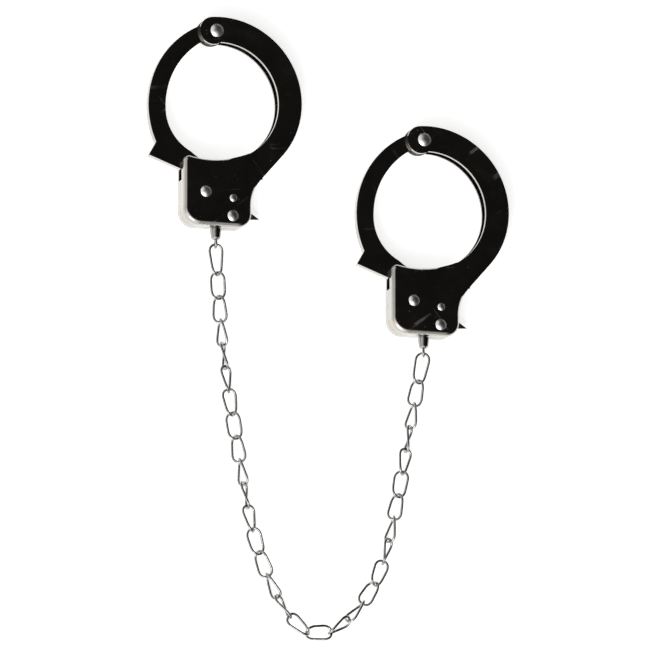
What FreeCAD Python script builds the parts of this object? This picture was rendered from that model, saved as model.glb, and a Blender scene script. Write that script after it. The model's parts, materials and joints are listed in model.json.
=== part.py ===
"""Handcuffs on a long chain, laid out flat: two lever-release cuffs and 31 twisted links.

A cuff is drawn about its own pivot: the pivot axis is local Z through (0, 0), +Y points away
from the chain, and z = 0 is the mid-plane, where the two shells meet. Lengths are in mm.
"""
import FreeCAD, Part
import math
import os
from FreeCAD import Vector

os.makedirs("parts", exist_ok=True)

# ---------------------------------------------------------------- driving dimensions
SHEET = 1.7                  # pressed steel sheet of both shells
ARM_THICKNESS = 4.0
ARM_GAP = 0.3                # side clearance between the arm and each cheek
CASE_HALF = 6.8              # half of the lock case's thickness
CHEEK_IN = ARM_THICKNESS / 2 + ARM_GAP
CHEEK_OUT = CHEEK_IN + SHEET
SEAM_GAP = 0.1               # each shell stops this far short of the mid-plane
RUNNING_FIT = 0.05           # radial clearance of every pivot

# ring of two cheeks: a lobe round the pivot, two tangent outer arcs, one inner arc
LOBE = (-1.9, -0.2, 7.0)             # centre x, centre y, radius
CHEEK_INNER = (2.4, -35.9, 30.0)
CHEEK_UPPER = (2.2, -35.6)           # centre of the upper arc, which is tangent to the lobe
CHEEK_LOWER_R = 41.5
ARC_CHANGE_DEG = 45                  # where the upper arc runs into the lower one
NECK = (23.2, -74.9)                 # where the cheek's straight edge meets the case
HOLE_LOW_Y = -57.0                   # below this the case's own top edge bounds the opening
HIDDEN_CORNER = (10.0, -30.0)        # of the plate's blank, inside the opening

# lock case
CASE_LEFT = -18.0
CASE_RIGHT = 17.7
CASE_BOTTOM = -100.5
CASE_TOP_ARC = (-4.0, -18.6, 48.0)
CASE_SIDE_ARC = (38.5, -89.0, 20.8)  # hollow curve from the neck down to the right side
CASE_REACH = 24.0                    # the case runs on under the cheek as far as this x
CORNER_LEFT = 8.5
CORNER_RIGHT = 7.0
CORNER_TOP = 3.0
EDGE_ROLL = 2.4                      # rolled outer edge of the pressed case
INNER_ROLL = 0.9
RAMP_TOP = -63.5                     # the ramp from case to cheek lies between these x + y
RAMP_FOOT = -51.5
RAMP_SLOPE = (CASE_HALF - CHEEK_OUT) / ((RAMP_FOOT - RAMP_TOP) / math.sqrt(2))
SLOT_LEFT_Y = -77.6                  # below this the left side wall is closed
SLOT_RIGHT_Y = -75.3

# swing arm
ARM_OUTER = (11.2, -39.9, 46.5)
ARM_INNER_UPPER = (13.7, -40.0, 40.0)
ARM_INNER_LOWER_R = 24.3
ARM_CHANGE_DEG = 183.6               # where the upper inner arc runs into the lower one
ARM_ENTRY_DEG = 243                  # end of the lower inner arc, at the case
ARM_TOE_BEND = (2.0, -70.2)          # the toe's upper edge, inside the case
ARM_TOE_TOP = (19.6, -70.4)
ARM_TOE_R = 76.3
ARM_TOE_TURN_DEG = 0.4               # the toe ends this far beyond the last tooth
ARM_HUB = 5.8
FIN_ROOT = (-30.6, -58.7)
FIN_TIP = (-35.0, -65.8)
TOOTH_TIP_R = 77.5                   # from the pivot axis
TOOTH_DEPTH = 1.4
TOOTH_STEP_DEG = 2.0
TOOTH_COUNT = 10
TOOTH_START_DEG = -6.0               # from straight down, positive towards the arm's tip
TOOTH_RAMP_SHARE = 0.75              # of a tooth's step; the rest is its steep face

# rivets, key post and lock parts
PIVOT_SHANK = 2.5
PIVOT_HEAD = 3.4
PIVOT_DOME = 1.3
PAWL_PIN = (-6.5, -83.6)
LEVER_PIN = (7.6, -95.1)
CASE_SHANK = 1.9
CASE_HEAD = 2.85
CASE_DOME = 1.1
KEY_POST = (7.8, -86.0)
KEY_POST_R = 1.3
KEY_POST_HEAD = 1.95
KEY_POST_DOME = 0.7
KEY_POST_SHORT = 0.4                 # it stops this far short of the rear face
KEY_HOLE_R = 3.1
KEY_BIT_HALF = 1.1
KEY_BIT_REACH = 6.2
PAWL_THICKNESS = 3.6
PAWL_BOSS_R = 3.4
PAWL_CLEAR = 0.3                     # pawl teeth to the arm's tooth tips
PAWL_TOOTH_START_DEG = -1.0
PAWL_TOOTH_COUNT = 3
PAWL_TOE = [(4.0, -81.0), (4.4, -86.2), (1.0, -87.0)]
LEVER_Z = (-4.3, -2.8)
LEVER_BOSS_R = 3.3
LEVER_TAB = [(14.0, -91.6), (20.4, -91.3), (24.4, -93.9), (20.6, -94.2), (14.0, -94.6)]
LEVER_WINDOW_Y = (-97.2, -87.2)
DRIVE_PIN = (1.6, -84.9)
DRIVE_PIN_R = 0.8
DRIVE_PIN_TOP = 1.2
DRIVE_SLOT_R = DRIVE_PIN_R + 0.4
DRIVE_SLOT_LENGTH = 2.3
SPRING_POINTS = [(-15.9, -93.4), (-8.0, -91.6), (-0.6, -87.45)]
SPRING_THICK = 0.4
SPRING_HALF_WIDTH = 1.5

# swivel and chain
SWIVEL_X = 0.6
NECK_R = 2.0
SWIVEL_HEAD_R = 3.1
SWIVEL_HEAD_Z = (0.3, 1.9)           # the head's faces, above the case's floor
BARREL_TOP_R = 2.95
BARREL_END_R = 2.4
BARREL_TOP_Y = -100.9
BARREL_END_Y = -106.4
EYE_Y = -108.5
EYE_R = 1.95                         # to the middle of the eye's wire
WIRE_R = 0.65
LINK_GAP = 0.2                       # between the wires of two linked links
LINK_COUNT = 31
LINK_HALF_WIDTH = 3.35               # to the middle of the wire
LINK_TWIST_DEG = -52.0               # left-handed
ROLL_STEP_DEG = 37.5                 # mean roll from one link to the next
ROLL_UPRIGHT_LINK = 4.5              # the chain stands on edge between links 4 and 5
ROLL_WAVE_DEG = 45.0                 # slack in the twist along the first part of the chain
ROLL_WAVE_LINKS = 19.2
ROLL_WAVE_END = 24
END_LINK_EXTRA = 2.2                 # the first and the last link are longer
CHAIN_REST_Z = -2.5                  # height of the lying chain, from the cuffs' mid-plane
CHAIN_DROP_LINKS = 4                 # it comes down to there within this many links
RIGHT_CUFF = (109.2, -48.2)
CHAIN_ROUTE = [(6.0, -166.9), (15.4, -224.9), (30.0, -278.2), (53.4, -303.8),
               (78.9, -285.6), (94.8, -241.8), (101.6, -205.3)]

# the whole object's frame: bottom at z = 0, centred in x and y
MIDDLE_X = 59.2
MIDDLE_Y = -149.56
FRAME_SHIFT = Vector(-MIDDLE_X, -MIDDLE_Y, CASE_HALF)

FAR = 120.0                          # reach of cutting boxes, beyond every edge of a cuff
Z_AXIS = Vector(0, 0, 1)
Y_AXIS = Vector(0, 1, 0)


# ---------------------------------------------------------------- small helpers
def on_circle(circle, degrees):
    """Point of a (centre x, centre y, radius) circle."""
    angle = math.radians(degrees)
    return (circle[0] + circle[2] * math.cos(angle), circle[1] + circle[2] * math.sin(angle))


def direction_deg(start, end):
    return math.degrees(math.atan2(end[1] - start[1], end[0] - start[0]))


def vec(point, z=0.0):
    return Vector(point[0], point[1], z)


def line(start, end):
    return Part.LineSegment(vec(start), vec(end)).toShape()


def arc(start, middle, end):
    return Part.Arc(vec(start), vec(middle), vec(end)).toShape()


def closed_lines(outline):
    return [line(a, b) for a, b in zip(outline, outline[1:] + outline[:1])]


def prism(edges, z_low, z_high):
    face = Part.Face(Part.Wire(edges))
    face.translate(Vector(0, 0, z_low))
    return face.extrude(Vector(0, 0, z_high - z_low))


def disc(circle, z_low, z_high):
    return Part.makeCylinder(circle[2], z_high - z_low, Vector(circle[0], circle[1], z_low))


def box(x_range, y_range, z_range):
    corner = Vector(x_range[0], y_range[0], z_range[0])
    return Part.makeBox(x_range[1] - x_range[0], y_range[1] - y_range[0],
                        z_range[1] - z_range[0], corner)


def dome(centre, z, radius, height, up=1):
    """A rivet head: a spherical cap on the plane z, rising up or down."""
    sphere_r = (radius ** 2 + height ** 2) / (2 * height)
    ball = Part.makeSphere(sphere_r, Vector(centre[0], centre[1], z + up * (height - sphere_r)))
    low, high = sorted((z, z + up * height * 1.5))
    return ball.common(box((centre[0] - 9, centre[0] + 9), (centre[1] - 9, centre[1] + 9),
                           (low, high)))


def edges_near(shape, points, reach=0.05):
    """The edges of shape that pass through any of the points."""
    found = []
    for edge in shape.Edges:
        if any(edge.distToShape(Part.Vertex(point))[0] < reach for point in points):
            found.append(edge)
    return found


def one_solid(shape):
    if len(shape.Solids) != 1:
        raise ValueError("expected one solid, got %d" % len(shape.Solids))
    return shape.Solids[0]


# ---------------------------------------------------------------- shells
def cheek_plate():
    """The flat strand: lobe, two outer arcs and the straight edge down to the neck."""
    upper = CHEEK_UPPER + (math.dist(CHEEK_UPPER, LOBE[:2]) + LOBE[2],)
    change = on_circle(upper, ARC_CHANGE_DEG)
    centre = on_circle(CHEEK_UPPER + (upper[2] - CHEEK_LOWER_R,), ARC_CHANGE_DEG)
    lower = centre + (CHEEK_LOWER_R,)
    top_deg = direction_deg(upper, LOBE)
    top = on_circle(upper, top_deg)
    tangent_deg = math.degrees(math.acos(CHEEK_LOWER_R / math.dist(centre, NECK)))
    tangent = on_circle(lower, direction_deg(lower, NECK) + tangent_deg)
    inside, middle_y = HIDDEN_CORNER
    edges = [arc(top, on_circle(upper, (top_deg + ARC_CHANGE_DEG) / 2), change),
             arc(change, on_circle(lower, 0), tangent),
             line(tangent, NECK),
             line(NECK, (inside, NECK[1])),
             line((inside, NECK[1]), HIDDEN_CORNER),
             line(HIDDEN_CORNER, (LOBE[0], middle_y)),
             line((LOBE[0], middle_y), top)]
    plate = prism(edges, CHEEK_IN, CHEEK_OUT)
    lobe = disc(LOBE, CHEEK_IN - 1, CHEEK_OUT + 1)
    opening = disc(CHEEK_INNER, CHEEK_IN - 1, CHEEK_OUT + 1)
    plate = plate.fuse(disc(LOBE, CHEEK_IN, CHEEK_OUT))
    return plate.cut(opening.cut(lobe)).removeSplitter()


def case_block(inset, height, roll):
    """The lock case's half block, from the mid-plane up, drawn smaller by inset."""
    left = CASE_LEFT + inset
    right = CASE_RIGHT - inset
    bottom = CASE_BOTTOM + inset
    top = CASE_TOP_ARC[:2] + (CASE_TOP_ARC[2] + inset,)
    side = CASE_SIDE_ARC[:2] + (CASE_SIDE_ARC[2] + inset,)
    r_left = CORNER_LEFT - inset
    r_right = CORNER_RIGHT - inset
    left_deg = 180 + math.degrees(math.acos((top[0] - left) / top[2]))
    top_left = on_circle(top, left_deg)
    far = (CASE_REACH, top[1] - math.sqrt(top[2] ** 2 - (CASE_REACH - top[0]) ** 2))
    neck_deg = 180 - math.degrees(math.asin((NECK[1] + inset - side[1]) / side[2]))
    neck = on_circle(side, neck_deg)
    shoulder = (CASE_REACH + inset, neck[1])
    centre_left = (left + r_left, bottom + r_left, r_left)
    centre_right = (right - r_right, bottom + r_right, r_right)
    edges = [arc(top_left, on_circle(top, 270), far)]
    edges.append(line(far, shoulder))
    edges.append(line(shoulder, neck))
    edges.append(arc(neck, on_circle(side, (neck_deg + 180) / 2), (right, side[1])))
    edges.append(line((right, side[1]), (right, bottom + r_right)))
    edges.append(arc((right, bottom + r_right), on_circle(centre_right, -45),
                     (right - r_right, bottom)))
    edges.append(line((right - r_right, bottom), (left + r_left, bottom)))
    edges.append(arc((left + r_left, bottom), on_circle(centre_left, 225),
                     (left, bottom + r_left)))
    edges.append(line((left, bottom + r_left), top_left))
    block = prism(edges, 0, height)
    corner = edges_near(block, [vec(top_left, height / 2)])
    block = block.makeFillet(CORNER_TOP - inset, corner)
    rim = [(left, -85), (0, bottom), (right, bottom + r_right + 1),
           on_circle(centre_left, 225), on_circle(centre_right, -45),
           on_circle(side, (neck_deg + 180) / 2)]
    block = block.makeFillet(roll, edges_near(block, [vec(p, height) for p in rim]))
    return block


def ramp_cut(lift):
    """What lies above the slope that brings the case down to the cheeks."""
    rise = CASE_HALF - CHEEK_OUT
    run = RAMP_FOOT - RAMP_TOP
    lengths = 3                      # the cut goes on at the same slope, past the foot
    ceiling = CASE_HALF + 20
    end_y = RAMP_TOP + lengths * run
    corners = [Vector(0, RAMP_TOP, CASE_HALF + lift),
               Vector(0, end_y, CASE_HALF + lift - lengths * rise),
               Vector(0, end_y, ceiling), Vector(0, RAMP_TOP, ceiling)]
    wire = Part.makePolygon(corners + corners[:1])
    wire.translate(Vector(-FAR / 2, FAR / 2, 0))
    return Part.Face(wire).extrude(Vector(FAR, -FAR, 0))


def half_shell():
    """The front shell: cheek plate and half case pressed from one sheet."""
    sheet_on_ramp = SHEET * math.hypot(1, RAMP_SLOPE)
    outer = case_block(0, CASE_HALF, EDGE_ROLL).cut(ramp_cut(0))
    hollow = case_block(SHEET, CASE_HALF - SHEET, INNER_ROLL).cut(ramp_cut(-sheet_on_ramp))
    shell = outer.fuse(cheek_plate())
    opening = disc(CHEEK_INNER, -1, CASE_HALF + 1)
    opening = opening.common(box((-FAR, FAR), (HOLE_LOW_Y, 0), (-2, CASE_HALF + 2)))
    shell = shell.cut(opening.cut(disc(LOBE, -2, CASE_HALF + 2)))
    shell = shell.cut(hollow)
    shell = shell.cut(box((-FAR, 0), (SLOT_LEFT_Y, FAR), (-1, CHEEK_IN)))
    shell = shell.cut(box((-1, FAR), (SLOT_RIGHT_Y, FAR), (-1, CHEEK_IN)))
    shell = shell.cut(box((-FAR, FAR), (-FAR, FAR), (-1, SEAM_GAP)))
    shell = shell.cut(disc((0, 0, PIVOT_SHANK), 0, CASE_HALF + 1))
    for pin in (PAWL_PIN, LEVER_PIN):
        shell = shell.cut(disc(pin + (CASE_SHANK,), 0, CASE_HALF + 1))
    bore = Part.makeCylinder(NECK_R + RUNNING_FIT, 6, Vector(SWIVEL_X, CASE_BOTTOM - 2, 0), Y_AXIS)
    return one_solid(shell.cut(bore).removeSplitter())


def mirrored(shape):
    return shape.mirror(Vector(0, 0, 0), Z_AXIS)


def front_shell():
    return one_solid(half_shell().cut(disc(KEY_POST + (KEY_POST_R,), 0, CASE_HALF + 1)))


def rear_shell():
    shell = mirrored(half_shell())
    through = (-CASE_HALF - 1, -CASE_HALF + 3)
    key_hole = disc(KEY_POST + (KEY_HOLE_R,), *through)
    bit_slot = box((KEY_POST[0] - KEY_BIT_HALF, KEY_POST[0] + KEY_BIT_HALF),
                   (KEY_POST[1] - 0.1, KEY_POST[1] + KEY_BIT_REACH), through)
    lever_slot = box((CASE_RIGHT - 4, CASE_RIGHT + 3), LEVER_WINDOW_Y,
                     (LEVER_Z[0] - 0.3, LEVER_Z[1] + 0.3))
    return one_solid(shell.cut(key_hole).cut(bit_slot).cut(lever_slot))


# ---------------------------------------------------------------- swing arm
def round_pivot(radius, degrees):
    """A point round the pivot; angles are from straight down."""
    angle = math.radians(degrees)
    return (radius * math.sin(angle), -radius * math.cos(angle))


def saw_teeth(first_deg, count, first_r, second_r, share):
    """Corners of teeth along a circle: each goes from first_r to second_r in its share."""
    points = []
    for i in range(count):
        start = first_deg + i * TOOTH_STEP_DEG
        points.append(round_pivot(first_r, start))
        points.append(round_pivot(second_r, start + share * TOOTH_STEP_DEG))
    return points


def swing_arm():
    """Hub, curved bar, fin and a toothed toe that runs through the lock case."""
    top_deg = direction_deg(ARM_OUTER, (0, 0))
    root_deg = direction_deg(ARM_OUTER, FIN_ROOT) + 360
    top = on_circle(ARM_OUTER, top_deg)
    root = on_circle(ARM_OUTER, root_deg)
    teeth = saw_teeth(TOOTH_START_DEG, TOOTH_COUNT, TOOTH_TIP_R - TOOTH_DEPTH, TOOTH_TIP_R,
                      TOOTH_RAMP_SHARE)
    last_tooth_deg = TOOTH_START_DEG + TOOTH_COUNT * TOOTH_STEP_DEG
    toe = round_pivot(ARM_TOE_R, last_tooth_deg + ARM_TOE_TURN_DEG)
    edges = [arc(top, on_circle(ARM_OUTER, (top_deg + root_deg) / 2), root),
             line(root, FIN_TIP), line(FIN_TIP, teeth[0])]
    edges += [line(a, b) for a, b in zip(teeth, teeth[1:])]
    edges += [line(teeth[-1], toe), line(toe, ARM_TOE_TOP)]
    upper = ARM_INNER_UPPER
    lower = on_circle(upper[:2] + (upper[2] - ARM_INNER_LOWER_R,), ARM_CHANGE_DEG)
    lower += (ARM_INNER_LOWER_R,)
    entry = on_circle(lower, ARM_ENTRY_DEG)
    change = on_circle(upper, ARM_CHANGE_DEG)
    hub_deg = 112                    # the inner arc ends inside the hub
    inner_top = on_circle(upper, hub_deg)
    edges.append(arc(ARM_TOE_TOP, ARM_TOE_BEND, entry))
    edges.append(arc(entry, on_circle(lower, (ARM_ENTRY_DEG + ARM_CHANGE_DEG) / 2), change))
    edges.append(arc(change, on_circle(upper, (ARM_CHANGE_DEG + hub_deg) / 2), inner_top))
    edges += [line(inner_top, (0, -1)), line((0, -1), top)]
    half = ARM_THICKNESS / 2
    arm = prism(edges, -half, half).fuse(disc((0, 0, ARM_HUB), -half, half))
    arm = arm.cut(disc((0, 0, PIVOT_SHANK + RUNNING_FIT), -half - 1, half + 1))
    return one_solid(arm.removeSplitter())


# ---------------------------------------------------------------- fasteners
def pivot_rivet():
    rivet = disc((0, 0, PIVOT_SHANK), -CHEEK_OUT, CHEEK_OUT)
    for up in (1, -1):
        rivet = rivet.fuse(dome((0, 0), up * CHEEK_OUT, PIVOT_HEAD, PIVOT_DOME, up))
    return one_solid(rivet.removeSplitter())


def case_rivets():
    """Two rivets, domed in front and flush behind; one node, two solids."""
    rivets = []
    for pin in (PAWL_PIN, LEVER_PIN):
        rivet = disc(pin + (CASE_SHANK,), -CASE_HALF, CASE_HALF)
        rivets.append(one_solid(rivet.fuse(dome(pin, CASE_HALF, CASE_HEAD, CASE_DOME))))
    return Part.Compound(rivets)


def key_post():
    post = disc(KEY_POST + (KEY_POST_R,), -CASE_HALF + KEY_POST_SHORT, CASE_HALF)
    return one_solid(post.fuse(dome(KEY_POST, CASE_HALF, KEY_POST_HEAD, KEY_POST_DOME)))


# ---------------------------------------------------------------- lock parts
def pawl():
    """A toothed catch on the upper case rivet; its teeth hold the arm's from below."""
    x, y = PAWL_PIN
    half = PAWL_THICKNESS / 2
    tip_r = TOOTH_TIP_R + PAWL_CLEAR
    teeth = saw_teeth(PAWL_TOOTH_START_DEG, PAWL_TOOTH_COUNT, tip_r, tip_r + TOOTH_DEPTH,
                      1 - TOOTH_RAMP_SHARE)
    outline = [(x - 0.5, y + PAWL_BOSS_R)] + teeth + PAWL_TOE + [(x, y - PAWL_BOSS_R)]
    body = prism(closed_lines(outline), -half, half)
    body = body.fuse(disc(PAWL_PIN + (PAWL_BOSS_R,), -half, half))
    body = body.cut(disc(PAWL_PIN + (CASE_SHANK + RUNNING_FIT,), -half - 1, half + 1))
    ends = (DRIVE_PIN[0] - DRIVE_SLOT_LENGTH, DRIVE_PIN[0])
    slot = box(ends, (DRIVE_PIN[1] - DRIVE_SLOT_R, DRIVE_PIN[1] + DRIVE_SLOT_R),
               (-half - 1, half + 1))
    for end in ends:
        slot = slot.fuse(disc((end, DRIVE_PIN[1], DRIVE_SLOT_R), -half - 1, half + 1))
    return one_solid(body.cut(slot).removeSplitter())


def release_lever():
    """A plate behind the pawl: its pin sits in the pawl's slot, its tab sticks out."""
    z_low, z_high = LEVER_Z
    x, y = LEVER_PIN
    pin_x, pin_y = DRIVE_PIN
    upper = [(x - 3.0, y + 1.2), (pin_x - 1.8, pin_y - 0.4), (pin_x - 1.0, pin_y + 1.3),
             (pin_x + 1.6, pin_y + 0.9), (x - 0.8, y + 4.4), (x + 2.4, y + 1.9)]
    tab = [(x, y + 3.0)] + LEVER_TAB + [(x, y - 2.6)]
    plate = disc(LEVER_PIN + (LEVER_BOSS_R,), z_low, z_high)
    for outline in (upper, tab):
        plate = plate.fuse(prism(closed_lines(outline), z_low, z_high))
    plate = plate.fuse(disc(DRIVE_PIN + (DRIVE_PIN_R,), z_high - 0.5, DRIVE_PIN_TOP))
    plate = plate.cut(disc(LEVER_PIN + (CASE_SHANK + RUNNING_FIT,), z_low - 1, z_high + 1))
    return one_solid(plate.removeSplitter())


def pawl_spring():
    """A bowed strip from the left wall to the underside of the pawl."""
    start, middle, end = SPRING_POINTS
    low = [(x + 0.1, y - SPRING_THICK) for x, y in SPRING_POINTS]
    edges = [arc(start, middle, end), line(end, low[2]), arc(low[2], low[1], low[0]),
             line(low[0], start)]
    return one_solid(prism(edges, -SPRING_HALF_WIDTH, SPRING_HALF_WIDTH))


# ---------------------------------------------------------------- swivel
def swivel(eye_turn_deg):
    """Headed stud: head in the case, neck in its floor, tapered barrel, wire eye."""
    head_low, head_high = (CASE_BOTTOM + SHEET + z for z in SWIVEL_HEAD_Z)
    profile = [(0, head_high), (SWIVEL_HEAD_R, head_high), (SWIVEL_HEAD_R, head_low),
               (NECK_R, head_low), (NECK_R, BARREL_TOP_Y), (BARREL_TOP_R - 0.3, BARREL_TOP_Y),
               (BARREL_TOP_R, BARREL_TOP_Y - 0.3), (BARREL_END_R, BARREL_END_Y + 0.8),
               (BARREL_END_R - 0.8, BARREL_END_Y), (0, BARREL_END_Y)]
    points = [Vector(SWIVEL_X + r, y, 0) for r, y in profile]
    face = Part.Face(Part.makePolygon(points + points[:1]))
    stud = face.revolve(Vector(SWIVEL_X, 0, 0), Y_AXIS, 360)
    centre = Vector(SWIVEL_X, EYE_Y, 0)
    eye = Part.makeTorus(EYE_R, WIRE_R, centre, Z_AXIS)
    body = one_solid(stud.fuse(eye).removeSplitter())
    body.rotate(centre, Y_AXIS, eye_turn_deg)
    return body


# ---------------------------------------------------------------- chain
def link_shape(half_length):
    """A twisted oval link about the origin, its long axis along X.

    Half of the wire's centre line is interpolated and swept; the other half is the same
    turned over, because the link is symmetric about its cross axis.
    """
    twist = math.radians(LINK_TWIST_DEG)
    straight = half_length - LINK_HALF_WIDTH

    def at(along, across):
        turn = twist * along / (2 * half_length)
        return Vector(along, across * math.cos(turn), across * math.sin(turn))

    points = [at(0, LINK_HALF_WIDTH), at(straight * 0.55, LINK_HALF_WIDTH)]
    for degrees in (90, 45, 0, -45, -90):
        angle = math.radians(degrees)
        points.append(at(straight + LINK_HALF_WIDTH * math.cos(angle),
                         LINK_HALF_WIDTH * math.sin(angle)))
    points += [at(straight * 0.55, -LINK_HALF_WIDTH), at(0, -LINK_HALF_WIDTH)]
    lean = LINK_HALF_WIDTH * twist / (2 * half_length)
    centre_line = Part.BSplineCurve()
    centre_line.interpolate(Points=points, InitialTangent=Vector(1, 0, lean),
                            FinalTangent=Vector(-1, 0, lean))
    tube = Part.makeTube(centre_line.toShape(), WIRE_R, "C1", 5, 12)
    other = tube.copy()
    other.rotate(Vector(0, 0, 0), Y_AXIS, 180)
    skin = Part.makeShell(tube.Faces + other.Faces)
    skin.sewShape(0.01)
    return Part.makeSolid(skin)


def link_roll(number):
    """Roll of a link's middle about the chain, in degrees; 90 stands it on edge.

    Each link follows the one before by about 90 degrees less its own twist, a little
    less tightly along the first three quarters of the chain.
    """
    step = number - ROLL_UPRIGHT_LINK
    roll = 90 + ROLL_STEP_DEG * step
    if number < ROLL_WAVE_END:
        roll -= ROLL_WAVE_DEG * math.sin(math.pi * step / ROLL_WAVE_LINKS)
    return roll


def link_pitch(number, pitch):
    return pitch + (END_LINK_EXTRA if number in (1, LINK_COUNT) else 0)


def eye_point(cuff):
    """Where the outermost link's wire and the eye's wire meet, in the cuffs' mid-plane."""
    return Vector(cuff[0] + SWIVEL_X, cuff[1] + EYE_Y - EYE_R + WIRE_R + LINK_GAP / 2, 0)


def walk_route(curve, pitch):
    """The points where link meets link, one pitch after another along the route."""
    knots = [curve.value(curve.FirstParameter)]
    low = curve.FirstParameter
    for number in range(1, LINK_COUNT + 1):
        reach = link_pitch(number, pitch)
        high = min(low + 0.12, 1.2)
        near = low
        for _ in range(40):
            middle = (near + high) / 2
            if curve.value(middle).distanceToPoint(knots[-1]) < reach:
                near = middle
            else:
                high = middle
        low = near
        knots.append(curve.value(low))
    return knots, low


def chain_knots():
    """The pitch that makes the chain end exactly at the right-hand eye, and its knots."""
    ends = [eye_point((0, 0)), eye_point(RIGHT_CUFF)]
    route = [ends[0]] + [vec(p) for p in CHAIN_ROUTE] + [ends[1]]
    curve = Part.BSplineCurve()
    curve.interpolate(Points=route)
    curve.scaleKnotsToBounds(0, 1)
    short, long = 10.0, 13.5
    for _ in range(40):
        pitch = (short + long) / 2
        knots, last = walk_route(curve, pitch)
        if last < 1:
            short = pitch
        else:
            long = pitch
    for i, knot in enumerate(knots):
        links_away = min(i, LINK_COUNT - i)
        knot.z = CHAIN_REST_Z * min(1, links_away / CHAIN_DROP_LINKS)
    return pitch, knots


def place_link(number, knots):
    start, end = knots[number - 1], knots[number]
    along = end.sub(start)
    half_length = along.Length / 2 + WIRE_R + LINK_GAP / 2
    shape = link_shape(half_length)
    along.normalize()
    across = Z_AXIS.cross(along).normalize()
    up = along.cross(across)
    middle = start.add(end).multiply(0.5)
    turn = FreeCAD.Rotation(along, across, up, "XYZ")
    shape.rotate(Vector(0, 0, 0), Vector(1, 0, 0), link_roll(number))
    shape.Placement = FreeCAD.Placement(middle, turn).multiply(shape.Placement)
    return shape


# ---------------------------------------------------------------- assembly
def cuff_parts(eye_turn_deg):
    return {
        "front_shell": front_shell(),
        "rear_shell": rear_shell(),
        "swing_arm": swing_arm(),
        "pivot_rivet": pivot_rivet(),
        "case_rivets": case_rivets(),
        "key_post": key_post(),
        "pawl": pawl(),
        "pawl_spring": pawl_spring(),
        "release_lever": release_lever(),
        "swivel": swivel(eye_turn_deg),
    }


def build():
    parts = {}
    half_twist = LINK_TWIST_DEG / 2
    eye_turns = {"left": 90 - (link_roll(1) - half_twist),
                 "right": (link_roll(LINK_COUNT) + half_twist) - 90}
    places = {"left": (0, 0), "right": RIGHT_CUFF}
    for side, place in places.items():
        for name, shape in cuff_parts(eye_turns[side]).items():
            shape.translate(vec(place))
            parts[side + "_" + name] = shape
    pitch, knots = chain_knots()
    print("pitch %.3f" % pitch)
    for number in range(1, LINK_COUNT + 1):
        parts["link_%02d" % number] = place_link(number, knots)
    for shape in parts.values():
        shape.translate(FRAME_SHIFT)
    return parts, [knot.add(FRAME_SHIFT) for knot in knots]


if __name__ == "__main__":
    PARTS, KNOTS = build()
    for node, solid in PARTS.items():
        solid.exportStep("parts/" + node + ".step")
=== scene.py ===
"""Looks of the handcuffs: nickel-plated steel, a pale floor, soft studio light.

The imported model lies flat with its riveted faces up. Every CAD piece keeps its shape and
gets a procedural material; stamped and turned pieces also get a small bevel as a modifier.
Units are metres, and texture scales are per metre.
"""

import json
import math

import bpy
from mathutils import Matrix, Vector

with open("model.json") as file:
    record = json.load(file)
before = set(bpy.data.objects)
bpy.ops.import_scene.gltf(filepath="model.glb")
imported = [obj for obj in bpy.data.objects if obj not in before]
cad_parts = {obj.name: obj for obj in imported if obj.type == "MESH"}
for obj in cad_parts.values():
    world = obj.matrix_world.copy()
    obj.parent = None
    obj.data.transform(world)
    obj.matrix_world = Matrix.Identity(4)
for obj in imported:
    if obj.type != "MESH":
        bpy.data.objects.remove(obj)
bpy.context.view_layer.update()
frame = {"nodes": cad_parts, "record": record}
MM = 0.001

# ---------------------------------------------------------------- view
TILT_LEFT = math.radians(18.0)      # the camera stands left of the faces' normal
TILT_LOW = math.radians(12.5)       # and below it
FIELD = 0.325                       # width seen at the object
DISTANCE = 8.0                      # a long lens, so both cuffs look the same size
SENSOR = 36.0
CLIP_NEAR = 0.1
CLIP_FAR = 20.0
AIM_RIGHT = 0.0539                  # picture centre, from the left pivot's rivet head
AIM_DOWN = 0.14735
HEAD_HEIGHT = 4.0 * MM              # of the cheek's face above the mid-plane


def joint_position(name):
    for joint in frame["record"]["behaviour"]["joints"]:
        if joint["name"] == name:
            return Vector(joint["pos_m"])
    raise KeyError(name)


def make_camera():
    right = Vector((math.cos(TILT_LEFT), 0, math.sin(TILT_LEFT)))
    up = Vector((-math.sin(TILT_LEFT) * math.sin(TILT_LOW), math.cos(TILT_LOW),
                 math.cos(TILT_LEFT) * math.sin(TILT_LOW)))
    back = right.cross(up)
    aim = joint_position("left_arm_swing") + Vector((0, 0, HEAD_HEIGHT))
    aim += right * AIM_RIGHT - up * AIM_DOWN
    data = bpy.data.cameras.new("camera")
    data.sensor_width = SENSOR
    data.lens = SENSOR * DISTANCE / FIELD
    data.clip_start = CLIP_NEAR
    data.clip_end = CLIP_FAR
    camera = bpy.data.objects.new("camera", data)
    matrix = Matrix((right, up, back)).transposed().to_4x4()
    matrix.translation = aim + back * DISTANCE
    camera.matrix_world = matrix
    bpy.context.scene.collection.objects.link(camera)
    bpy.context.scene.camera = camera


# ---------------------------------------------------------------- node helpers
MIX_FIRST, MIX_SECOND, MIX_RESULT = 6, 7, 2     # a Mix node's colour sockets, by place


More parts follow.
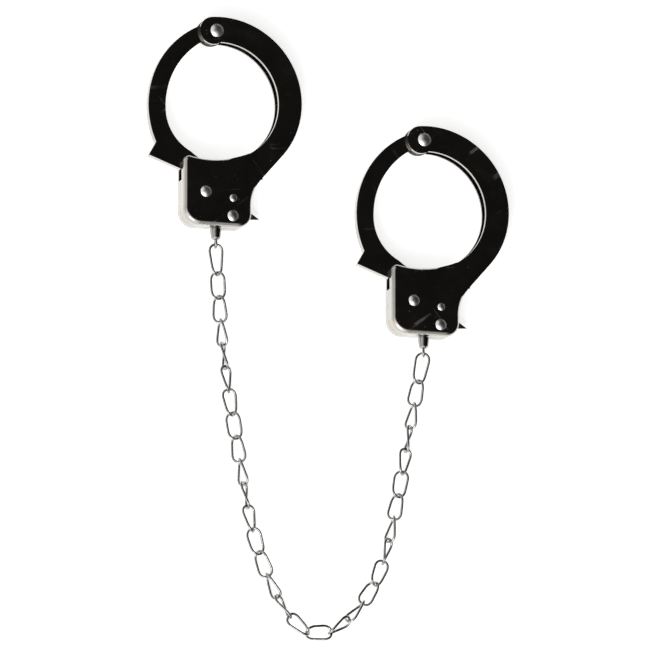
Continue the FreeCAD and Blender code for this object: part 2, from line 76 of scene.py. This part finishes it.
class Tree:
    """One node tree. Inputs take a value or another node's output socket."""

    def __init__(self, owner):
        owner.use_nodes = True
        self.tree = owner.node_tree
        self.tree.nodes.clear()

    def node(self, kind, inputs, **settings):
        node = self.tree.nodes.new(kind)
        for key, value in settings.items():
            setattr(node, key, value)
        for slot, value in inputs.items():
            if isinstance(value, bpy.types.NodeSocket):
                self.tree.links.new(value, node.inputs[slot])
            else:
                node.inputs[slot].default_value = value
        return node

    def math(self, operation, first, second):
        node = self.node("ShaderNodeMath", {0: first, 1: second}, operation=operation)
        return node.outputs["Value"]

    def total(self, terms):
        result = terms[0]
        for term in terms[1:]:
            result = self.math("ADD", result, term)
        return result

    def dot(self, first, second):
        node = self.node("ShaderNodeVectorMath", {0: first, 1: second}, operation="DOT_PRODUCT")
        return node.outputs["Value"]


class Surface(Tree):
    """A material of one Principled shader, with textures in the object's own coordinates."""

    def __init__(self, name):
        self.material = bpy.data.materials.new(name)
        super().__init__(self.material)
        self.shader = self.node("ShaderNodeBsdfPrincipled", {})
        self.node("ShaderNodeOutputMaterial", {"Surface": self.shader.outputs["BSDF"]})
        self.place = self.node("ShaderNodeTexCoord", {}).outputs["Object"]

    def set(self, **inputs):
        """Sets shader inputs, whose names are written here with _ for each space."""
        for name, value in inputs.items():
            slot = self.shader.inputs[name.replace("_", " ")]
            if isinstance(value, bpy.types.NodeSocket):
                self.tree.links.new(value, slot)
            else:
                slot.default_value = value

    def noise(self, scale, detail, rough=0.5):
        inputs = {"Vector": self.place, "Scale": scale, "Detail": detail, "Roughness": rough}
        return self.node("ShaderNodeTexNoise", inputs).outputs["Fac"]

    def ramp(self, value, stops):
        """Stops are pairs of a place and a grey or a colour."""
        node = self.node("ShaderNodeValToRGB", {"Fac": value})
        elements = node.color_ramp.elements
        while len(elements) < len(stops):
            elements.new(0.5)
        for element, (place, shade) in zip(elements, stops):
            element.position = place
            element.color = (shade if isinstance(shade, tuple) else (shade,) * 3) + (1.0,)
        return node.outputs["Color"]


# ---------------------------------------------------------------- marks on the metal
# direction over the face in degrees, lines per metre, length to width, threshold of the
# noise, and what a scratch adds to the roughness
SCRATCHES = [
    (38, 420, 26, 0.66, 0.20),
    (-54, 380, 30, 0.67, 0.18),
    (8, 450, 22, 0.68, 0.16),
]
SCRATCH_DETAIL = 1.0
SCRATCH_WAVER = 0.15
SCRATCH_EDGE = 0.025                # width of a scratch's soft edge, in noise value
SCRATCH_PATCH = 60                  # size of the patches that hold scratches, and how much
SCRATCH_PATCH_TURN = 0.3            # it changes per degree, so directions don't coincide
SCRATCH_PATCH_STOPS = [(0.50, 0.0), (0.62, 1.0)]
PIT_DENSITY = 420
PIT_RADIUS = 0.16                   # over the spacing
PIT_CORE = 0.6                      # share of the radius that is at full strength
PIT_STRENGTH = 0.22
PIT_PATCH = {"scale": 90, "detail": 2}
PIT_PATCH_STOPS = [(0.54, 0.0), (0.60, 1.0)]
EDGE_RADIUS = 0.22 * MM
EDGE_SAMPLES = 6
EDGE_STOPS = [(0.01, 0.0), (0.10, 1.0)]     # over one minus the cosine of the normals' angle


def scratches(surface, turn_deg, spacing, length, threshold, strength):
    """Sparse hair scratches along one direction of the faces, broken up by patches."""
    turned = surface.node("ShaderNodeMapping", {
        "Vector": surface.place,
        "Rotation": (0, 0, math.radians(turn_deg)),
        "Scale": (length, 1.0, 1.0),
    }, vector_type="TEXTURE")
    lines = surface.node("ShaderNodeTexNoise", {
        "Vector": turned.outputs["Vector"],
        "Scale": spacing,
        "Detail": SCRATCH_DETAIL,
        "Distortion": SCRATCH_WAVER,
    })
    lines = surface.ramp(lines.outputs["Fac"],
                         [(threshold, 0.0), (threshold + SCRATCH_EDGE, strength)])
    patch = surface.noise(SCRATCH_PATCH + turn_deg * SCRATCH_PATCH_TURN, 2)
    return surface.math("MULTIPLY", lines, surface.ramp(patch, SCRATCH_PATCH_STOPS))


def pits(surface, strength):
    """Small round pits and dust marks, one here and there."""
    cells = surface.node("ShaderNodeTexVoronoi", {"Vector": surface.place, "Scale": PIT_DENSITY})
    spots = surface.ramp(cells.outputs["Distance"],
                         [(PIT_RADIUS * PIT_CORE, strength), (PIT_RADIUS, 0.0)])
    patch = surface.ramp(surface.noise(**PIT_PATCH), PIT_PATCH_STOPS)
    return surface.math("MULTIPLY", spots, patch)


def edge_mask(surface):
    """One along the convex and concave edges, nothing on the flats."""
    rounded = surface.node("ShaderNodeBevel", {"Radius": EDGE_RADIUS}, samples=EDGE_SAMPLES)
    flat = surface.node("ShaderNodeNewGeometry", {})
    cosine = surface.dot(rounded.outputs["Normal"], flat.outputs["Normal"])
    return surface.ramp(surface.math("SUBTRACT", 1.0, cosine), EDGE_STOPS)


# ---------------------------------------------------------------- metals
SHELL_NICKEL = (0.50, 0.485, 0.455)
CHAIN_NICKEL = (0.38, 0.375, 0.365)
RIVET_NICKEL = (0.92, 0.91, 0.88)
LOCK_STEEL = (0.48, 0.47, 0.46)
SPRING_STEEL = (0.40, 0.40, 0.42)
# paler colour along the edges: partly wear, partly a painted highlight
WORN_AND_PAINTED_HIGHLIGHT_EDGE = (0.66, 0.65, 0.62)
STAIN = {"scale": 55, "detail": 4, "rough": 0.6}
STAIN_STOPS = (0.35, 0.55, 0.8)     # where the darker, the plain and the warmer tint lie
STAIN_DARK = (0.84, 0.84, 0.84)     # shares of the tint's red, green and blue
STAIN_WARM = (1.02, 0.965, 0.88)
SMUDGE = {"scale": 110, "detail": 5, "rough": 0.65}
SMUDGE_STOPS = (0.45, 0.78)
SMUDGE_STRENGTH = 0.10              # what a full smudge adds to the roughness
WORN_ROUGHNESS = 0.22               # and a fully worn edge
RIPPLE = {"scale": 85, "detail": 2}
MARK_DEPTH = -0.5                   # of a mark, over the height of the ripple
BUMP_HEIGHT = 0.4 * MM

# name, tint and roughness, then the strength of the scratches and pits, of the bump, of the
# smudges and of the wear and painted highlight along the edges
METALS = {
    "pressed_shell": ("polished_shell", SHELL_NICKEL, 0.07, 1.4, 0.05, 1.8, 0.6),
    "swing_arm": ("polished_arm", SHELL_NICKEL, 0.07, 1.0, 0.04, 1.4, 0.6),
    "rivets": ("rivet_nickel", RIVET_NICKEL, 0.33, 0.5, 0.10, 1.0, 0.0),
    "swivel": ("swivel_nickel", CHAIN_NICKEL, 0.14, 0.7, 0.08, 1.0, 0.0),
    "chain_wire": ("chain_nickel", CHAIN_NICKEL, 0.09, 0.5, 0.10, 1.0, 0.0),
    "lock_steel": ("lock_steel", LOCK_STEEL, 0.28, 1.2, 0.15, 1.0, 0.0),
    "spring_steel": ("spring_steel", SPRING_STEEL, 0.25, 1.0, 0.10, 1.0, 0.0),
}
BEVELS_MM = {"pressed_shell": 0.2, "swing_arm": 0.2, "lock_steel": 0.15, "swivel": 0.12}
BEVEL_SEGMENTS = 2
BEVEL_FROM = math.radians(38)       # gentler edges stay as they are


def shaded(tint, shares):
    return tuple(channel * share for channel, share in zip(tint, shares))


def plated_metal(name, tint, roughness, scratch, bump, smudge, wear_and_painted_highlight):
    """Nickel plate: smudges and fine scratches in the roughness, a faint polishing ripple.

    With wear, the plate is duller along its edges. It is also paler there, which is partly wear and
    partly a painted highlight.
    """
    surface = Surface(name)
    tints = (shaded(tint, STAIN_DARK), tint, shaded(tint, STAIN_WARM))
    colour = surface.ramp(surface.noise(**STAIN), list(zip(STAIN_STOPS, tints)))
    smudge_shades = (0.0, SMUDGE_STRENGTH * smudge)
    smudges = surface.ramp(surface.noise(**SMUDGE), list(zip(SMUDGE_STOPS, smudge_shades)))
    marks = [scratches(surface, *shape, strength * scratch) for *shape, strength in SCRATCHES]
    marks = surface.total(marks + [pits(surface, PIT_STRENGTH * scratch)])
    rough = surface.math("ADD", smudges, marks)
    if wear_and_painted_highlight:
        worn_and_painted_highlight = surface.math("MULTIPLY", edge_mask(surface), wear_and_painted_highlight)
        # the paler edge colour is partly wear and partly a painted highlight; the added roughness
        # is wear
        mix = surface.node("ShaderNodeMix", {
            "Factor": worn_and_painted_highlight,
            MIX_FIRST: colour,
            MIX_SECOND: WORN_AND_PAINTED_HIGHLIGHT_EDGE + (1.0,),
        }, data_type="RGBA")
        colour = mix.outputs[MIX_RESULT]
        rough = surface.math("ADD", rough, surface.math("MULTIPLY", worn_and_painted_highlight, WORN_ROUGHNESS))
    carved = surface.math("MULTIPLY", marks, MARK_DEPTH)
    relief = surface.node("ShaderNodeBump", {
        "Strength": bump,
        "Distance": BUMP_HEIGHT,
        "Height": surface.math("ADD", surface.noise(**RIPPLE), carved),
    })
    surface.set(Metallic=1.0, Base_Color=colour, Normal=relief.outputs["Normal"],
                Roughness=surface.math("ADD", rough, roughness))
    return surface.material


def finish_pieces():
    """Gives each piece its metal and, if it is stamped or turned, tumbled edges."""
    metals = {slot: plated_metal(*values) for slot, values in METALS.items()}
    slots = {part["node"]: part["material_slot"] for part in frame["record"]["subparts"]}
    for node, piece in frame["nodes"].items():
        metal = metals[slots[node]]
        if not piece.material_slots:
            piece.data.materials.append(metal)
        for material_slot in piece.material_slots:
            material_slot.material = metal
        if slots[node] in BEVELS_MM:
            bevel = piece.modifiers.new("tumbled_edge", "BEVEL")
            bevel.width = BEVELS_MM[slots[node]] * MM
            bevel.segments = BEVEL_SEGMENTS
            bevel.limit_method = "ANGLE"
            bevel.angle_limit = BEVEL_FROM
            bevel.harden_normals = False


# ---------------------------------------------------------------- floor
FLOOR_HALF = 3.0
FLOOR_CLOUDS = {"scale": 3, "detail": 2}
FLOOR_STOPS = [(0.3, (0.93, 0.93, 0.93)), (0.7, (0.97, 0.97, 0.965))]
FLOOR_GLOW = 0.72
FLOOR_ROUGHNESS = 0.9
FLOOR_SHINE = 0.1


def floor_material():
    surface = Surface("pale_floor")
    shade = surface.ramp(surface.noise(**FLOOR_CLOUDS), FLOOR_STOPS)
    surface.set(Base_Color=shade, Emission_Color=shade, Emission_Strength=FLOOR_GLOW,
                Roughness=FLOOR_ROUGHNESS, Specular_IOR_Level=FLOOR_SHINE)
    return surface.material


def make_floor():
    mesh = bpy.data.meshes.new("floor")
    corners = [(x * FLOOR_HALF, y * FLOOR_HALF, 0) for x, y in ((-1, -1), (1, -1), (1, 1), (-1, 1))]
    mesh.from_pydata(corners, [], [(0, 1, 2, 3)])
    floor = bpy.data.objects.new("floor", mesh)
    floor.data.materials.append(floor_material())
    bpy.context.scene.collection.objects.link(floor)


# ---------------------------------------------------------------- light
# each bright patch of the room: its direction, then the cosines to that direction where it
# starts and where it is full, and its full brightness
FRONT_LEFT = ((-0.50, -0.75, 0.42), (0.45, 0.96), 1.5)
REAR_LEFT = ((-0.75, 0.50, 0.45), (0.70, 0.97), 0.8)
HORIZON_GLOW = 0.42                 # brightness at the horizon and below
HORIZON_HEIGHTS = (0.02, 0.12)      # sines of the heights between which it fades out
ROOM_DARK = (0.012, 0.0112, 0.0105)
KEY_PLACE = (-0.7, -1.1, 0.95)
KEY_TARGET = (0, -0.05, 0)
KEY_SIZE = (0.8, 0.5)
KEY_POWER = 7


def fade(tree, value, span, ends):
    """Smooth change from ends[0] to ends[1] as the value crosses the span."""
    node = tree.node("ShaderNodeMapRange", {
        "Value": value,
        "From Min": span[0],
        "From Max": span[1],
        "To Min": ends[0],
        "To Max": ends[1],
    }, interpolation_type="SMOOTHSTEP")
    return node.outputs["Result"]


def make_world():
    """A dark room with a bright patch at the front left, a weaker one at the rear left and
    a glow along the horizon."""
    world = bpy.data.worlds.new("studio")
    tree = Tree(world)
    direction = tree.node("ShaderNodeTexCoord", {}).outputs["Generated"]
    glows = []
    for centre, span, brightness in (FRONT_LEFT, REAR_LEFT):
        cosine = tree.dot(direction, Vector(centre).normalized())
        glows.append(fade(tree, cosine, span, (0.0, brightness)))
    height = tree.node("ShaderNodeSeparateXYZ", {"Vector": direction}).outputs["Z"]
    glows.append(fade(tree, height, HORIZON_HEIGHTS, (HORIZON_GLOW, 0.0)))
    light = tree.node("ShaderNodeVectorMath", {0: tree.total(glows), 1: ROOM_DARK}, operation="ADD")
    background = tree.node("ShaderNodeBackground", {"Color": light.outputs["Vector"]})
    tree.node("ShaderNodeOutputWorld", {"Surface": background.outputs["Background"]})
    bpy.context.scene.world = world


def make_key_light():
    data = bpy.data.lights.new("key", "AREA")
    data.shape = "RECTANGLE"
    data.size, data.size_y = KEY_SIZE
    data.energy = KEY_POWER
    lamp = bpy.data.objects.new("key", data)
    place, target = Vector(KEY_PLACE), Vector(KEY_TARGET)
    lamp.matrix_world = (Matrix.Translation(place)
                         @ (target - place).to_track_quat("-Z", "Y").to_matrix().to_4x4())
    bpy.context.scene.collection.objects.link(lamp)


make_camera()
finish_pieces()
make_floor()
make_world()
make_key_light()
bpy.context.scene.view_settings.view_transform = "Standard"
bpy.context.scene.view_settings.look = "None"
